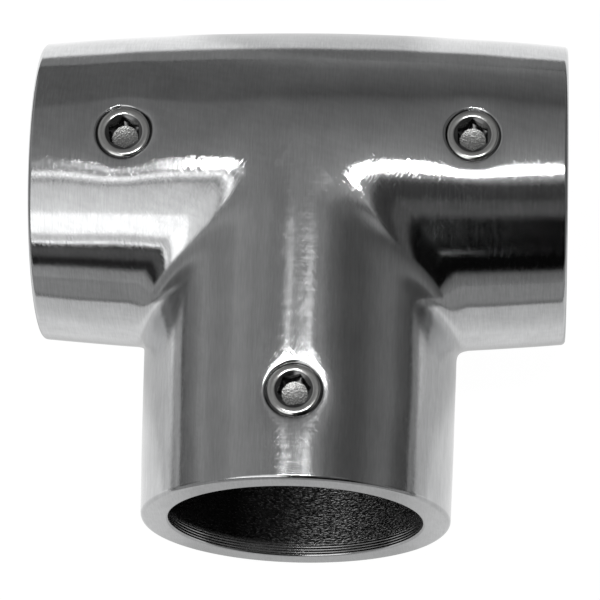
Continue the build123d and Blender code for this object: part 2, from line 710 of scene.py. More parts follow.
@dataclass(frozen=True)
class TeeForm:
    """Outside and bores of the casting as fields that are below zero inside the metal's outer shape.

    Args:
        run_half: Half the run's length.
        reach: From the run's axis to the branch's mouth.
        run_middle_radius: Radius of the run at its middle.
        run_end_radius: Radius of the run at its ends.
        root_radius: Half-width of the branch where it leaves the run.
        mouth_radius: Radius of the branch at its mouth.
        crown: How much deeper than wide the branch is at its root, so that it lies flush with the run.
        bore_radius: Radius of both bores.
        side_blend: How far the fillet reaches from the crease at the sides.
        top_blend: How much further it reaches over the top.
        crown_blend: How much further still where the two are almost flush.
        right_blend: Share by which the fillet is wider on the right, where it was worked harder.
        behind: How fast the branch's field rises behind the run's axis, where the branch ends.
        holes: Places of the tapped holes, along X and Y.
        hole_radius: Radius at which the dishing starts.
        dish: Depth to which polishing has dished the metal round the holes.
        dish_reach: How far the dishing spreads.
        edge_dish: Further depth to which the edges of the holes are worn.
        edge_reach: How far that wear spreads.
    """

    run_half: float
    reach: float
    run_middle_radius: float
    run_end_radius: float = 15.35
    root_radius: float = 16.05
    mouth_radius: float = 15.6
    crown: float = 0.5
    bore_radius: float = 12.8
    side_blend: float = 1.6
    top_blend: float = 0.5
    crown_blend: float = 1.0
    right_blend: float = 0.25
    behind: float = 0.08
    holes: tuple[tuple[float, float], ...] = ()
    hole_radius: float = 2.9
    dish: float = 0.14
    dish_reach: float = 1.3
    edge_dish: float = 0.04
    edge_reach: float = 0.35

    def barrel(self, along: Array, half: float, full: float, end: float) -> Array:
        """Radius of a barrel whose side is an arc: the full radius less the arc's sagitta at that place.

        Args:
            along: Distance from the widest place.
            half: Distance from the widest place to the end.
            full: The widest radius.
            end: The radius at the end.

        Returns:
            The radius at each place.
        """
        drop = full - end
        arc = (half**2 + drop**2) / (2 * drop)
        return full - (arc - np.sqrt(arc**2 - np.clip(along, -half, half) ** 2))

    def waves(self, points: Array) -> Array:
        """Unevenness that hand polishing leaves: three long ripples, each a product of two sines.

        Args:
            points: Points in millimetres.

        Returns:
            The height of the ripples at each point.
        """
        x, y, z = np.moveaxis(points, -1, 0)
        first = np.sin(0.31 * x + 0.9) * np.sin(0.42 * y + 0.35 * z)
        second = np.sin(0.53 * x - 0.3 * y) * np.sin(0.5 * z + 0.2 * x + 1.1)
        third = np.sin(0.74 * y + 0.4) * np.sin(0.6 * x + 0.3 * z + 2.0)
        return 0.012 * first + 0.008 * second + 0.006 * third

    def dishing(self, points: Array) -> Array:
        """How deep the metal round each hole has sunk, which halves at equal steps from its edge.

        Args:
            points: Points in millimetres.

        Returns:
            The depth at each point.
        """
        sunk = np.zeros(points.shape[:-1])
        for x, y in self.holes:
            away = np.hypot(points[..., 0] - x, points[..., 1] - y) - self.hole_radius
            sunk += self.dish * np.exp(-ramp(away, 0.2) / self.dish_reach)
            sunk += self.edge_dish * np.exp(-ramp(away, 0.1) / self.edge_reach)
        return sunk * smooth_step(points[..., 2], 4, 9)

    def meeting(self, points: Array) -> tuple[Array, Array, Array, Array]:
        """Measures points from the two axes, and compares the outward ways from them.

        Args:
            points: Points in millimetres.

        Returns:
            Distances from the run's axis and from the branch's, the cosine between the two outward
            ways, and the rise of the branch's field behind the run's axis.
        """
        x, y, z = np.moveaxis(points, -1, 0)
        from_run = np.hypot(y, z)
        from_branch = np.hypot(x, z)
        cosine = np.clip(z * z / np.maximum(from_run * from_branch, 1), 0, 1)
        return from_run, from_branch, cosine, self.behind * np.maximum(y, 0) ** 2

    def outside(self, points: Array) -> Array:
        """Distance outside the casting: the run and the branch joined, dished and waved.

        The crease is filled in proportion to how sharply the two surfaces meet, which keeps one
        fillet radius all the way round, and by a little more where they are flush.

        Args:
            points: Points in millimetres.

        Returns:
            The distance of each point.
        """
        x, y, z = np.moveaxis(points, -1, 0)
        from_run, _from_branch, meeting, rise = self.meeting(points)
        run = from_run - self.barrel(x, self.run_half, self.run_middle_radius, self.run_end_radius)
        down = np.clip(-y, 0, self.reach)
        width = self.barrel(down, self.reach, self.root_radius, self.mouth_radius)
        height = width + self.crown * (1 + np.cos(pi * down / self.reach)) / 2
        branch = np.hypot(x, z * width / height) - width + rise
        reach = self.side_blend + self.top_blend * smooth_step(meeting, 0.0, 0.35)
        reach += self.crown_blend * smooth_step(meeting, 0.86, 0.985)
        reach *= 1 + self.right_blend * smooth_step(x, 1, 6) * smooth_step(meeting, 0.0, 0.5)
        joined = smooth_union(run, branch, self.filling(meeting, reach))
        return joined + self.dishing(points) - self.waves(points)

    def wheel_way(self, points: Array, side: Array) -> Array:
        """The way that reflections are drawn out: along each arm, and along the crease between two arms.

        It turns through a quarter circle from X on the run to Y on the branch, and runs along the
        crease half-way, in a band that narrows towards the crown. A little of the inward way is
        added, so that it never points straight out of a rim or an end face.

        Args:
            points: Points on the surface.
            side: 1 for points of the right half and -1 for points of the left half.

        Returns:
            One vector per point.
        """
        x, y, z = np.moveaxis(points, -1, 0)
        band = np.minimum(0.3 + 0.5 * np.abs(x), 2.5)
        share = smooth_step((-y - np.abs(x)) / band, -1, 1)
        from_run = np.maximum(np.hypot(y, z), 1)
        from_branch = np.maximum(np.hypot(x, z), 1)
        turn = share * pi / 2
        out_of_run = 0.15 * (1 - share) / from_run
        out_of_branch = 0.15 * share / from_branch
        return np.stack(
            [
                np.cos(turn) - side * out_of_branch * x,
                -side * (np.sin(turn) + out_of_run * y),
                -side * (out_of_run + out_of_branch) * z,
            ],
            axis=-1,
        )

    def filling(self, meeting: Array, reach: Array) -> Array:
        """Width of the band that is filled, so that a fillet goes out to that reach on both sides.

        Two surfaces whose normals are an angle apart hold a fillet that touches them at the reach,
        when the width is about four times the reach, the tangent of a quarter of the angle and
        the cosine of half of it.

        Args:
            meeting: Cosine of the angle between the two normals.
            reach: How far the fillet goes from the crease.

        Returns:
            The width for smooth_union, never quite zero.
        """
        half = np.arccos(np.clip(meeting, -1, 1)) / 2
        return np.hypot(4.4 * reach * np.tan(half / 2) * np.cos(half), 0.2)

    def bores(self, points: Array) -> Array:
        """Distance outside the two bores, which cross with a slightly worn edge.

        Args:
            points: Points in millimetres.

        Returns:
            The distance of each point.
        """
        from_run, from_branch, meeting, rise = self.meeting(points)
        crease = 4 * 0.4 * (1 - np.sqrt((1 + meeting) / 2)) + 1e-6
        return smooth_union(from_run - self.bore_radius, from_branch - self.bore_radius + rise, crease)


class ArmName(Enum):
    """The three arms, each with its way along, its first way across and the hole it carries."""

    RIGHT = ((1, 0, 0), (0, 1, 0), 1)
    LEFT = ((-1, 0, 0), (0, 1, 0), 0)
    BRANCH = ((0, -1, 0), (1, 0, 0), 2)


@dataclass
class Arm:
    """One arm of the tee, from the planes where the three meet, over its rim and back down its bore.

    Args:
        name: Which arm it is.
        form: The casting's fields.
        outer_rows: Rows of points along its outside.
        bore_rows: Rows of points along its bore.
        around: Points round the arm, a multiple of 4.
        rim_round: Radius of the rim's outer edge.
        edge_round: Radius of the bore's edge.
        opening: Cells from the middle of the opening for a hole to its side.
    """

    name: ArmName
    form: TeeForm
    outer_rows: int
    bore_rows: int
    around: int = 192
    rim_round: float = 0.45
    edge_round: float = 0.25
    opening: int = 11

    def __post_init__(self) -> None:
        """Sets the arm's directions, its end and its hole."""
        along, across, hole = self.name.value
        self.along = np.array(along, float)
        self.across = np.array(across, float)
        self.is_branch = self.name is ArmName.BRANCH
        self.end = self.form.reach if self.is_branch else self.form.run_half
        x, y = self.form.holes[hole]
        self.hole_at = np.array([x, y, 0.0])
        turn = 2 * pi * np.arange(self.around) / self.around
        self.outward = np.cos(turn)[:, None] * self.across + np.sin(turn)[:, None] * np.array([0, 0, 1.0])
        sideways = np.cos(turn)
        self.lean = np.abs(sideways) if self.is_branch else np.maximum(-sideways, 0)
        full = self.form.root_radius if self.is_branch else self.form.run_middle_radius
        end = self.form.mouth_radius if self.is_branch else self.form.run_end_radius
        drop = full - end
        self.end_slope = self.end / ((self.end**2 + drop**2) / (2 * drop))

    def seam(self, inside: Field, low: float, high: float) -> Array:
        """How far along the arm its surface meets the next arm's, all the way round."""
        step = self.outward + self.lean[:, None] * self.along
        return self.lean * solve_along(inside, np.zeros_like(step), step, low, high)

    def shell(self, inside: Field, places: Array, low: float, high: float) -> Array:
        """Finds a surface outwards from the arm's axis.

        Args:
            inside: The surface's field.
            places: Where along the arm each point is wanted.
            low: A distance from the axis that is inside.
            high: A distance from the axis that is outside.

        Returns:
            The points of the surface.
        """
        base = places[..., None] * self.along
        step = np.broadcast_to(self.outward, base.shape)
        return base + step * solve_along(inside, base, step, low, high)[..., None]

    def places(self, seam: Array, end: float, share: Array) -> Array:
        """Places along the arm for each share of the way from the seam to the end.

        The seam's own outline fades out along the arm, faster where the seam is near the middle.
        """
        fade = 1 + 2 * (1 - seam / seam.max())
        return seam * (1 - share[:, None]) ** fade + end * share[:, None]

    def build(self) -> tuple[Grid, list[Array]]:
        """Works out the arm's whole sheet and the outlines of the two openings for its hole.

        Returns:
            The sheet, and the outline of the opening outside and of the one in the bore.
        """
        form = self.form
        evenly = np.linspace(0, 1, self.outer_rows + 1)
        slope = self.end_slope
        start = self.end - self.rim_round * (1 - slope)
        seam = self.seam(form.outside, *OUTER_RADII)
        places = self.places(seam, start, 0.7 * evenly + 0.3 * evenly**2)
        outer = self.shell(form.outside, places, *OUTER_RADII)
        outer_normals = slope_of(form.outside, outer)

        edge = np.linalg.norm(outer[-1] - start * self.along, axis=-1)
        level = sqrt(1 - slope**2)
        rim_centre = edge - self.rim_round * level
        turn = np.linspace(np.arcsin(slope), pi / 2, 8)[1:, None, None]
        rim_normals = np.sin(turn) * self.along + np.cos(turn) * self.outward
        rim = (
            (self.end - self.rim_round) * self.along
            + rim_centre[:, None] * self.outward
            + self.rim_round * rim_normals
        )

        inner_edge = form.bore_radius + self.edge_round
        share = np.array([0.03, 0.3, 0.65, 0.97])[:, None]
        face_radius = rim_centre * (1 - share) + inner_edge * share
        face = self.end * self.along + face_radius[..., None] * self.outward
        face_normals = np.broadcast_to(self.along, face.shape)

        turn = np.linspace(0, pi / 2, 6)[:, None, None]
        edge_normals = np.cos(turn) * self.along - np.sin(turn) * self.outward
        lip = (
            (self.end - self.edge_round) * self.along
            + inner_edge * self.outward
            + self.edge_round * edge_normals
        )

        evenly = np.linspace(1, 0, self.bore_rows + 1)[1:]
        bore_end = self.end - self.edge_round
        places = self.places(self.seam(form.bores, *BORE_RADII), bore_end, evenly)
        bore = self.shell(form.bores, places, *BORE_RADII)
        bore_normals = -slope_of(form.bores, bore)

        points = np.concatenate([outer, rim, face, lip, bore])
        normals = np.concatenate([outer_normals, rim_normals, face_normals, edge_normals, bore_normals])
        last = points.shape[0] - 1
        finish = np.full(last, BodyFinish.POLISHED)
        finish[-self.bore_rows - 1 :] = BodyFinish.BORE
        kept = np.ones((last, self.around), bool)
        sheet = Grid(points, normals, finish, kept, flipped=self.name is ArmName.LEFT)
        outside = self.open_up(sheet, 0, self.outer_rows)
        return sheet, [outside, self.open_up(sheet, last - self.bore_rows, last)]

    def open_up(self, sheet: Grid, first: int, last: int) -> Array:
        """Takes a square of cells out of the sheet over the hole, and gives its outline.

        The square has as many cells along the arm as across it.

        Args:
            sheet: The arm's sheet, whose kept cells are changed.
            first: The first row of the surface that is opened.
            last: The last row of that surface.

        Returns:
            The outline's points, anticlockwise from above, from the corner at +X and -Y.
        """
        top = self.around // 4
        half = self.opening
        centre = float(np.dot(self.hole_at, self.along))
        along_top = sheet.points[first : last + 1, top] @ self.along
        middle = first + int(np.argmin(np.abs(along_top - centre)))
        rows = np.arange(middle - half, middle + half + 1)
        columns = np.arange(top - half, top + half + 1)
        sheet.kept[np.ix_(rows[:-1], columns[:-1])] = False
        block = sheet.points[np.ix_(rows, columns)]
        outline = np.concatenate([block[0, :-1], block[:-1, -1], block[-1, :0:-1], block[:0:-1, 0]])
        around = outline[:, :2] - self.hole_at[:2]
        area = np.sum(around[:, 0] * np.roll(around[:, 1], -1) - around[:, 1] * np.roll(around[:, 0], -1))
        if area < 0:
            outline = outline[::-1]
            around = around[::-1]
        corner = np.argmax((around[:, 0] - around[:, 1]) / np.sqrt(2))
        return np.roll(outline, -corner, axis=0)


@dataclass(frozen=True)
class ScrewThread:
    """A metric thread, the same for the screws and for the holes they turn in.

    Args:
        radius: Radius over the crests.
        pitch: Rise in one turn.
        depth: From crest to root.
    """

    radius: float = 3.0
    pitch: float = 1.0
    depth: float = 0.55

    def valley(self, turn: Array, height: Array) -> Array:
        """Depth below the crests, a rounded wave that climbs by the pitch in one turn."""
        phase = height / self.pitch - turn / (2 * pi)
        return self.depth * (0.5 - 0.5 * np.cos(2 * pi * phase)) ** 1.2


@dataclass
class TappedHole:
    """A screw's hole through the wall: its rounded mouth, its thread and its edge in the bore.

    Args:
        form: The casting's fields.
        at: The hole's place, along X and Y.
        outlines: The openings that it fills, outside and in the bore.
        thread: The thread.
        clearance: Gap between the thread and the screw's.
        mouth_radius: Radius at the mouth, which stands in a little over the screw's chamfer.
        mouth_round: Radius of the rounded mouth.
        run_out: How much the radius at the mouth varies where the thread runs out.
    """

    form: TeeForm
    at: Array
    outlines: list[Array]
    thread: ScrewThread = ScrewThread()
    clearance: float = 0.04
    mouth_radius: float = 2.78
    mouth_round: float = 0.3
    run_out: float = 0.16

    def onto(self, inside: Field, ring: Array, low: float, high: float) -> Array:
        """Finds a surface straight above each point of a ring.

        Args:
            inside: The surface's field.
            ring: The points, of which only X and Y count.
            low: A height that is inside.
            high: A height that is outside.

        Returns:
            The points of the surface.
        """
        base = np.concatenate([ring[..., :2], np.zeros((*ring.shape[:-1], 1))], axis=-1)
        up = np.broadcast_to(np.array([0, 0, 1.0]), base.shape)
        return base + up * solve_along(inside, base, up, low, high)[..., None]

    def build(self) -> Grid:
        """Works out rings from the outside opening, over the mouth, down the thread and out in the bore.

        Returns:
            The sheet.
        """
        outside, inside = self.outlines
        count = outside.shape[0]
        turn = -pi / 4 + 2 * pi * np.arange(count) / count
        out = np.stack([np.cos(turn), np.sin(turn)], axis=-1)
        wall = self.thread.radius + self.clearance
        level = self.onto(self.form.outside, (self.at + wall * out)[None], *OUTER_HEIGHTS)[0, :, 2]
        first = self.mouth_radius + self.run_out * (0.5 - self.thread.valley(turn, level) / self.thread.depth)
        mouth = (first + self.mouth_round)[:, None]

        share = (np.linspace(1, 0, 14)[1:, None, None]) ** 1.3
        rings = (self.at + mouth * out) * (1 - share) + outside[:, :2] * share
        skin = self.onto(self.form.outside, rings, *OUTER_HEIGHTS)
        skin_normals = slope_of(self.form.outside, skin)

        edge = skin[-1]
        normal = skin_normals[-1]
        fall = -np.sum(normal[:, :2] * out, axis=-1) / normal[:, 2]
        shoulder = edge[:, 2] - fall * self.mouth_round
        step = steps(7)
        radius = mouth[:, 0] * (1 - step) ** 2 + first * (2 * step * (1 - step) + step**2)
        height = (
            edge[:, 2] * (1 - step) ** 2
            + shoulder * 2 * step * (1 - step)
            + (shoulder - self.mouth_round) * step**2
        )
        lip = self.rings(turn, np.broadcast_to(radius, height.shape), height)

        lower = self.onto(self.form.bores, (self.at + wall * out)[None], *BORE_HEIGHTS)[0, :, 2]
        step = steps(29)
        height = (shoulder - self.mouth_round) * (1 - step) + lower * step
        opened = smooth_step(step, 0.0, 0.14)
        fade = opened * smooth_step(1 - step, 0.0, 0.1)
        radius = first * (1 - opened) + wall * opened - self.thread.valley(turn, height) * fade
        threads = self.rings(turn, radius, height)

        share = (np.linspace(0, 1, 9)[1:-1, None, None]) ** 1.2
        rings = (self.at + wall * out) * (1 - share) + inside[:, :2] * share
        bore = self.onto(self.form.bores, rings, *BORE_HEIGHTS)

        points = np.concatenate([outside[None], skin, lip, threads, bore, inside[None]])
        normals = np.zeros_like(points)
        normals[0] = slope_of(self.form.outside, outside)
        normals[1 : skin.shape[0] + 1] = skin_normals
        normals[-1] = -slope_of(self.form.bores, inside)
        finish = np.full(points.shape[0] - 1, BodyFinish.POLISHED)
        finish[skin.shape[0] + lip.shape[0] :] = BodyFinish.THREAD
        finish[-bore.shape[0] - 1 :] = BodyFinish.BORE
        kept = np.ones((points.shape[0] - 1, count), bool)
        return Grid(points, normals, finish, kept)

    def rings(self, turn: Array, radius: Array, height: Array) -> Array:
        """Makes rings of points round the hole's axis.

        Args:
            turn: The angle of each point.
            radius: Radius of each point.
            height: Height of each point.

        Returns:
            The points.
        """
        x = self.at[0] + radius * np.cos(turn)
        y = self.at[1] + radius * np.sin(turn)
        return np.stack([x, y, np.broadcast_to(height, radius.shape)], axis=-1)


@dataclass
class Casting:
    """The one-piece body: three arms and three tapped holes in one closed mesh.

    Args:
        form: The casting's fields.
        name: The object's name.
        run_rows: Rows of points along each arm of the run, outside and in its bore.
        branch_rows: The same for the branch.
    """

    form: TeeForm
    name: str = "casting"
    run_rows: tuple[int, int] = (56, 48)
    branch_rows: tuple[int, int] = (74, 58)

    def build(self) -> bpy.types.Object:
        """Builds the body, dresses it and puts it in the place of its solid.

        Returns:
            The object.
        """
        sheets = []
        for arm_name in ArmName:
            rows = self.branch_rows if arm_name is ArmName.BRANCH else self.run_rows
            arm = Arm(arm_name, self.form, *rows)
            sheet, outlines = arm.build()
            sheets.append(sheet)
            sheets.append(TappedHole(self.form, arm.hole_at[:2], outlines).build())
        finishes = [POLISHED.material(), CAST_BORE.material(), THREAD_PAINTED_SHADE.material()]
        piece = mesh_of(self.name, sheets, finishes)
        self.mark_wheel_way(piece.data)
        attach(piece, "root")
        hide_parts("tee_body")
        return piece

    def mark_wheel_way(self, mesh: bpy.types.Mesh) -> None:
        """Writes the wheel's way to every corner, with each face's side taken from its middle.

        Args:
            mesh: The body's mesh.
        """
        places = np.zeros((len(mesh.vertices), 3), np.float32)
        mesh.vertices.foreach_get("co", places.ravel())
        middles = np.zeros((len(mesh.polygons), 3), np.float32)
        mesh.polygons.foreach_get("center", middles.ravel())
        corner_points = np.zeros(len(mesh.loops), np.int32)
        mesh.loops.foreach_get("vertex_index", corner_points)
        corner_counts = np.zeros(len(mesh.polygons), np.int32)
        mesh.polygons.foreach_get("loop_total", corner_counts)
        side = np.repeat(np.where(middles[:, 0] > 0, 1.0, -1.0), corner_counts)
        way = self.form.wheel_way(places[corner_points].astype(float) / MM, side)
        attribute = mesh.attributes.new(WHEEL_WAY, "FLOAT_VECTOR", "CORNER")
        attribute.data.foreach_set("vector", way.astype(np.float32).ravel())


# ---- the set screws -----------------------------------------------------------------------------


def middle_of(node: str) -> tuple[float, float]:
    """Where the middle of a solid's box is, along X and Y, in millimetres."""
    low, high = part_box(node)
    return (low.x + high.x) / 2 / MM, (low.y + high.y) / 2 / MM


@dataclass
class SetScrew:
    """A short cup-point screw with a hex socket.

    Args:
        node: The solid that it stands for, whose box gives its place.
        hex_turn: Turn of the socket from a corner that points to +Y, in degrees.
        thread: The thread.
        around: Points round the axis, a multiple of 6.
        face_radius: Radius of the face inside its chamfer.
        lead_in_radius: Radius of the lead-in to the socket.
        lead_in_angle: Full angle of the lead-in's cone, in degrees.
        ring_rise: Height of the ring on the face over its two edges.
        flat_radius: From the axis to a flat of the socket.
        socket_depth: Depth of the socket's floor.
        shelf_rise: Height of the edge of the socket's floor over the round floor.
        floor_radius: Radius of the round floor.
        dimple: Depth to which the round floor is dished.
        cup_radius: Radius of the cup at the point.
        cup_angle: Full angle of the cup's cone, in degrees.
        tip_radius: Radius of the point outside the cup.
        point_rows: Rows of points over the point.
        side_rows: Rows up the thread.
        chamfer_rows: Rows over the chamfer of the face.
        face_rows: Rows over the ring of the face.
        lead_in_rows: Rows down the lead-in.
        wall_rows: Rows down the socket.
        shelf_rows: Rows in to the round floor.
        floor_rows: Rows in to its middle.
    """

    node: str
    hex_turn: float
    thread: ScrewThread = ScrewThread()
    around: int = 144
    face_radius: float = 2.52
    lead_in_radius: float = 1.88
    lead_in_angle: float = 120.0
    ring_rise: float = 0.04
    flat_radius: float = 1.5
    socket_depth: float = 1.7
    shelf_rise: float = 0.25
    floor_radius: float = 1.3
    dimple: float = 0.08
    cup_radius: float = 1.25
    cup_angle: float = 150.0
    tip_radius: float = 2.55
    point_rows: int = 18
    side_rows: int = 52
    chamfer_rows: int = 5
    face_rows: int = 13
    lead_in_rows: int = 8
    wall_rows: int = 11
    shelf_rows: int = 6
    floor_rows: int = 13

    def build(self) -> bpy.types.Object:
        """Builds the screw, dresses it and puts it in the place of its solid.

        Returns:
            The object.
        """
        low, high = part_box(self.node)
        x, y = middle_of(self.node)
        turn = 2 * pi * np.arange(self.around) / self.around + radians(self.hex_turn)
        radius, height = self.outline(turn, low.z / MM, high.z / MM)
        points = np.stack([x + radius * np.cos(turn), y + radius * np.sin(turn), height], axis=-1)
        finishes = [steel.material() for steel in (SCREW_FACE, SCREW_PAINTED_SHADE, SOCKET_FLOOR)]
        piece = mesh_of(self.node.replace("set_screw", "socket_screw"), [self.dressed(points)], finishes)
        piece.data.set_sharp_from_angle(angle=SHARP_FROM)
        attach(piece, "root")
        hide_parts(self.node)
        return piece

    def dressed(self, points: Array) -> Grid:
        """Makes the sheet, with the thread, the chamfer and the socket's wall dark as painted shade and its
        floor grainy.

        Args:
            points: The screw's rings.

        Returns:
            The sheet.
        """
        # The dark finish is painted shade on the thread, the chamfer and the socket.
        face, dark, floor = ScrewFinish
        sheet = Grid.of(points)
        sheet.finish = np.repeat(
            [face, dark, face, dark, floor],
            [
                self.point_rows,
                self.side_rows + self.chamfer_rows,
                self.face_rows,
                self.lead_in_rows + self.wall_rows + self.shelf_rows,
                self.floor_rows,
            ],
        )[1:]
        return sheet

    def hexagon(self, turn: Array) -> Array:
        """Radius of the socket's wall: the distance to a flat over the cosine of the angle from it."""
        from_corner = turn - radians(self.hex_turn) - pi / 2
        return self.flat_radius / np.cos(np.mod(from_corner, pi / 3) - pi / 6)

    def outline(self, turn: Array, tip: float, top: float) -> tuple[Array, Array]:
        """Goes from the middle of the cup round to the middle of the socket's floor.

        Args:
            turn: The angle of each point round the axis.
            tip: Height of the screw's point.
            top: Height of its face.

        Returns:
            The radius and the height of each point, rings by points round.
        """
        ones = np.ones_like(turn)
        across = np.linspace(0, self.tip_radius - 0.05, self.point_rows)[:, None]
        cup = ramp(self.cup_radius - across, 0.05) / tan(radians(self.cup_angle / 2))

        side = np.linspace(tip + 0.01, top - 0.35, self.side_rows)[:, None] * ones
        crest = self.thread.radius - self.thread.valley(turn, side)
        blunt = self.tip_radius + (side - tip)
        chamfer = self.face_radius + (top - side) + 0.02
        side_radius = np.minimum(blunt - ramp(blunt - crest, 0.03), chamfer)

        hexagon = self.hexagon(turn)
        face_rows = self.chamfer_rows + self.face_rows
        outer = np.linspace(self.face_radius + 0.3, self.lead_in_radius, face_rows)[:, None] * ones
        share = steps(self.lead_in_rows)
        face_radius = np.concatenate([outer, self.lead_in_radius * (1 - share) + hexagon * share])
        face = self.face_height(face_radius, top)

        floor = top - self.socket_depth
        shelf = floor + self.shelf_rise
        share = steps(self.wall_rows)
        wall_radius = hexagon * np.ones_like(share)
        wall = face[-1] * (1 - share) + shelf * share

        share = steps(self.shelf_rows)
        shelf_radius = hexagon * (1 - share) + self.floor_radius * share
        slope = (shelf * (1 - share) + floor * share) * ones

        floor_radius = self.floor_radius * (1 - steps(self.floor_rows)) * ones
        dished = floor - self.dimple * (1 - (floor_radius / self.floor_radius) ** 2)
        radius = [across * ones, side_radius, face_radius, wall_radius, shelf_radius, floor_radius]
        height = [(tip + cup) * ones, side, face, wall, slope, dished]
        return np.concatenate(radius), np.concatenate(height)

    def face_height(self, radius: Array, top: float) -> Array:
        """Height of the face: a low round ring, with a chamfer outside and a lead-in inside.

        Args:
            radius: Where the height is wanted.
            top: Height of the solid's face.

        Returns:
            The height at each radius.
        """
        chamfer = ramp(radius - self.face_radius, 0.06)
        lead_in = ramp(self.lead_in_radius - radius, 0.05) / tan(radians(self.lead_in_angle / 2))
        middle = (self.face_radius + self.lead_in_radius) / 2
        half = (self.face_radius - self.lead_in_radius) / 2
        crowned = self.ring_rise * np.clip((radius - middle) / half, -1, 1) ** 2
        return top + 0.03 - chamfer - lead_in - crowned


# ---- the studio ---------------------------------------------------------------------------------


@dataclass(frozen=True)
class Camera:
    """The view: from above and in front, through a long lens.

    Args:
        place: Where it stands, in metres.
        turn: Its pitch, yaw and roll from looking straight down, in radians.
        lens: Focal length, in millimetres on a 36 mm sensor.
    """

    place: Triple = (0.02221, -0.13908, 0.36483)
    turn: Triple = (0.3354, 0.0614, 0.0307)
    lens: float = 226.2

    def build(self) -> bpy.types.Object:
        """Adds the camera and makes it the scene's.

        Returns:
            The camera object.
        """
        pitch, yaw, roll = self.turn
        data = bpy.data.cameras.new("camera")
        data.lens = self.lens
        data.sensor_width = 36
        data.clip_start = 0.01
        camera = bpy.data.objects.new("camera", data)
        turned = Matrix.Identity(3)
        for angle, axis in ((yaw, "Y"), (pitch, "X"), (roll, "Z")):
            turned = turned @ Matrix.Rotation(angle, 3, axis)
        camera.matrix_world = Matrix.Translation(self.place) @ turned.to_4x4()
        bpy.context.scene.collection.objects.link(camera)
        bpy.context.scene.camera = camera
        return camera


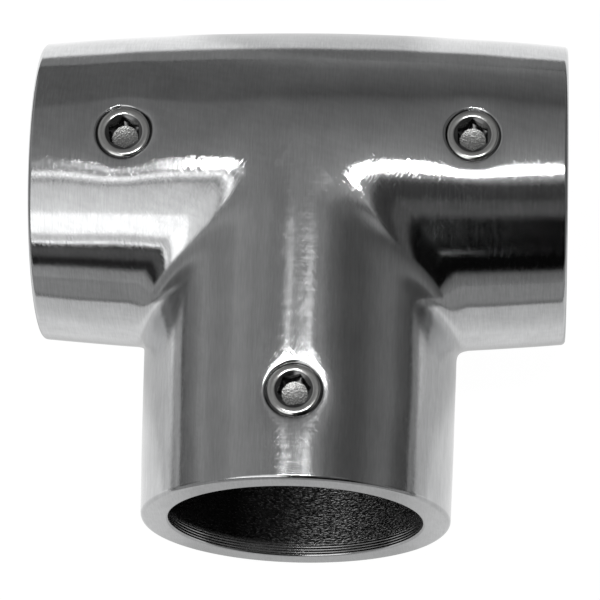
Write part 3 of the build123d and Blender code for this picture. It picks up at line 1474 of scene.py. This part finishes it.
@dataclass
class Studio:
    """A pale sheet under the tee, panels of light over it and dim surroundings.

    Args:
        floor_height: Height of the sheet, in millimetres.
    """

    floor_height: float

    def floor(self) -> bpy.types.Object:
        """Returns:
            The floor object.
        """
        turn = np.linspace(0, 2 * pi, 64, endpoint=False)
        radius = np.array([0, 60, 120, 240, 500, 1000, 2500.0])[:, None]
        x = radius * np.cos(turn)
        y = radius * np.sin(turn)
        z = np.full_like(x, self.floor_height)
        sheet = Grid.of(np.stack([x, y, z], axis=-1), flipped=True)
        floor = mesh_of("floor", [sheet], [self.floor_material()])
        return floor

    def floor_material(self) -> bpy.types.Material:
        """Pale matt paper that glows a little, by its place along X and Y where the steel mirrors it. The
        glow is painted light on the paper, with a painted shadow in a strip under the branch.

        Returns:
            The material.
        """
        material, sheet, place, paper = blank_material("floor_paper")
        x, y, _z = sheet.parts(place)
        across = sheet.shades(x, -0.2, 0.2, FLOOR_ACROSS)
        along = sheet.shades(y, -0.2, 0.2, FLOOR_ALONG)
        from_middle = sheet.math("ABSOLUTE", sheet.math("ADD", x, 0.001))
        # Painted shadow: the glow is dimmed to 0.68 in a strip along Y under the branch.
        painted_shadow_strip = sheet.spread(from_middle, 0.0105, 0.0155, 0.68, 1.0)
        lit = sheet.times(sheet.times(across, along), painted_shadow_strip)
        lit = sheet.math("MAXIMUM", lit, sheet.spread(y, -0.1, -0.09, 0.28, 0.0))
        seen = sheet.add("ShaderNodeLightPath").outputs["Is Camera Ray"]
        level = sheet.math("MAXIMUM", lit, sheet.times(seen, 0.98))
        paper.inputs["Base Color"].default_value = (0.08, 0.08, 0.08, 1)
        paper.inputs["Roughness"].default_value = 1
        paper.inputs["Specular IOR Level"].default_value = 0
        paper.inputs["Emission Color"].default_value = (1, 1, 1, 1)
        sheet.join(level, paper.inputs["Emission Strength"])
        return material

    def surroundings(self) -> None:
        """Lights the world by height over the floor, apart on the left, on the right and far aside."""
        world = bpy.data.worlds.new("surroundings")
        bpy.context.scene.world = world
        world.use_nodes = True
        sheet = NodeSheet(world.node_tree)
        x, y, z = sheet.parts(sheet.add("ShaderNodeTexCoord").outputs["Generated"])
        tilt = sheet.math("ARCTAN2", sheet.math("MAXIMUM", z, 0.0), y)
        left, right = (
            sheet.shades(tilt, 0.0, pi, [(radians(angle), bright) for angle, bright in sky])
            for sky in (LEFT_SKY, RIGHT_SKY)
        )
        middle = sheet.mix(sheet.spread(x, -0.115, -0.06), left, right)
        every = sheet.mix(self.far_aside(sheet, x, tilt), middle, self.sides(sheet, x, tilt))
        seen = sheet.add("ShaderNodeLightPath").outputs["Is Camera Ray"]
        background = sheet.add("ShaderNodeBackground")
        sheet.join(sheet.mix(seen, every, (0.95, 0.95, 0.95, 1)), background.inputs[0])
        sheet.show(background, "World")

    def far_aside(self, sheet: NodeSheet, x: Socket, tilt: Socket) -> Socket:
        """Tells the sides from the middle. The middle widens a little from just past the top on.

        Args:
            sheet: The world's nodes.
            x: The direction along X.
            tilt: The angle from the back over the top to the front.

        Returns:
            1 at the sides and 0 in the middle.
        """
        first = sheet.spread(tilt, radians(96), radians(104), 0.0, 0.22)
        second = sheet.spread(tilt, radians(104), radians(126), 0.0, 0.08)
        wider = sheet.math("ADD", first, second)
        return sheet.spread(sheet.math("SUBTRACT", sheet.math("ABSOLUTE", x), wider), 0.3, 0.38)

    def sides(self, sheet: NodeSheet, x: Socket, tilt: Socket) -> Socket:
        """Lights the sides by X, and a patch on the right near the top more than the rest.

        Args:
            sheet: The world's nodes.
            x: The direction along X.
            tilt: The angle from the back over the top to the front.

        Returns:
            The brightness.
        """
        plain = sheet.shades(x, -1.0, 1.0, SIDE_SKY)
        inner = sheet.times(sheet.spread(x, 0.43, 0.52), sheet.spread(x, 0.56, 0.66, 1.0, 0.0))
        rising = sheet.spread(tilt, radians(80), radians(93), 0.0, 2.0)
        falling = sheet.spread(tilt, radians(97), radians(108), 1.0, 0.0)
        raised = sheet.times(sheet.times(rising, falling), inner)
        return sheet.times(plain, sheet.math("ADD", raised, 1.0))

    def lamp(
        self, name: str, towards: Triple, size: tuple[float, float], bright: float
    ) -> bpy.types.Object:
        """Adds a rectangular light that faces the tee, a metre away.

        Args:
            name: The light's name.
            towards: The way to it from the tee.
            size: Its width and height, in metres.
            bright: Its brightness, where the white of the floor is about 1.

        Returns:
            The light object.
        """
        data = bpy.data.lights.new(name, "AREA")
        data.shape = "RECTANGLE"
        data.size, data.size_y = size
        data.energy = 4 * bright * size[0] * size[1]
        lamp = bpy.data.objects.new(name, data)
        way = Vector(towards).normalized()
        lamp.location = way
        lamp.rotation_euler = way.to_track_quat("Z", "Y").to_euler()
        lamp.visible_camera = False
        bpy.context.scene.collection.objects.link(lamp)
        return lamp

    def build(self) -> None:
        """Builds the floor, the surroundings and the lamps."""
        self.floor()
        self.surroundings()
        for name, towards, size, bright in LAMPS:
            self.lamp(name, towards, size, bright)


# Name, way, size at a metre's distance and brightness of each lamp.
LAMPS = [
    ("lamp_left", (-0.10, 0.0, 1.0), (0.08, 0.04), 45.0),
    ("lamp_middle", (0.03, -0.03, 1.0), (0.18, 0.07), 10.0),
    ("lamp_right", (0.155, -0.015, 1.0), (0.07, 0.05), 65.0),
    ("glint", (0.045, -0.89, 0.45), (0.04, 0.06), 0.55),
]

# Brightness of the floor by its place along X and along Y, in metres, where the steel mirrors it. This glow
# is painted light on the paper: dimmer towards the right, with a painted shadow line just in front of the
# sheet's front edge and painted shade under the run.
FLOOR_ACROSS = [
    (-0.144, 0.28), (-0.12, 0.8), (-0.08, 0.78), (0.08, 0.63), (0.138, 0.6), (0.162, 0.16),
]
FLOOR_ALONG = [
    (-0.092, 0.38), (-0.084, 0.27), (-0.077, 0.27), (-0.071, 0.86), (-0.053, 0.92), (-0.045, 0.96),
    (-0.036, 1.06), (-0.029, 1.25), (-0.02, 1.2), (-0.015, 0.84), (0.0, 0.84), (0.03, 1.5),
    (0.093, 1.5), (0.117, 0.3),
]

# Brightness of the surroundings by angle, from 0 at the back over the top to 180 at the front.
LEFT_SKY = [
    (0, 0.14), (20, 0.13), (40, 0.135), (43, 0.19), (68, 0.22), (88, 0.3), (95.2, 0.36), (96.6, 1.9),
    (98.6, 1.9), (99.8, 0.8), (101.5, 0.7), (102.6, 0.4), (103.6, 0.4), (104.6, 0.85), (112, 0.95),
    (126, 1.15), (128, 1.9), (142, 1.9), (144, 0.9), (148.5, 0.8), (149.3, 1.9), (150.6, 1.9),
    (151.5, 0.07), (153.5, 0.07), (156, 0.12), (161, 0.1), (164, 0.02), (169, 0.03), (172, 0.33),
    (180, 0.4),
]
RIGHT_SKY = [
    (0, 0.25), (10, 0.17), (35, 0.1), (40, 0.14), (46, 0.18), (60, 0.22), (72, 0.28), (82, 0.36),
    (88, 0.5), (97, 0.5), (100, 0.2), (102, 0.07), (112, 0.05), (116, 0.1), (124, 0.11), (128, 0.02),
    (131, 0.003), (168, 0.003), (172, 0.18), (180, 0.25),
]

# Brightness of the surroundings at the sides, from -1 at the left to 1 at the right.
SIDE_SKY = [
    (-1, 0.12), (-0.96, 0.18), (-0.93, 0.35), (-0.85, 0.27), (-0.74, 0.29), (-0.68, 0.365),
    (-0.6, 0.33), (-0.5, 0.29), (-0.25, 0.29), (0.25, 0.3), (0.33, 0.19), (0.47, 0.145), (0.53, 0.1),
    (0.71, 0.1), (0.78, 0.13), (0.84, 0.16), (0.9, 0.19), (0.93, 0.19), (0.96, 0.09), (1, 0.07),
]


# ---- the whole ----------------------------------------------------------------------------------

# Turn of each screw's socket from a corner that points to +Y, in degrees.
SCREW_TURNS = {"set_screw_left": 5.0, "set_screw_right": 1.0, "set_screw_branch": -20.0}


def corners(box: tuple[Vector, Vector]) -> list[list[float]]:
    """A box's lowest and highest corners as plain lists of numbers."""
    return [[float(value) for value in corner] for corner in box]


def main() -> None:
    """Builds the tee, its screws and the studio in turn."""
    logging.basicConfig(level=logging.INFO, format="%(name)s: %(message)s")
    low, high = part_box("tee_body")
    form = TeeForm(
        run_half=high.x / MM,
        reach=-low.y / MM,
        run_middle_radius=high.y / MM,
        holes=tuple(middle_of(node) for node in SCREW_TURNS),
    )
    casting = Casting(form).build()
    LOG.info("%s has %d faces", casting.name, len(casting.data.polygons))
    for node, hex_turn in SCREW_TURNS.items():
        screw = SetScrew(node, hex_turn).build()
        LOG.info("%s has %d faces", screw.name, len(screw.data.polygons))
    # The waves of the polish leave the casting a hair under the solid, and the floor goes down with it.
    lowest = min(corner[2] for corner in casting.bound_box) / MM
    Studio(floor_height=lowest).build()
    Camera().build()
    bpy.context.scene.view_settings.view_transform = "Standard"
    LOG.info("the studio and the camera are in place")


if __name__ == "__main__":
    main()
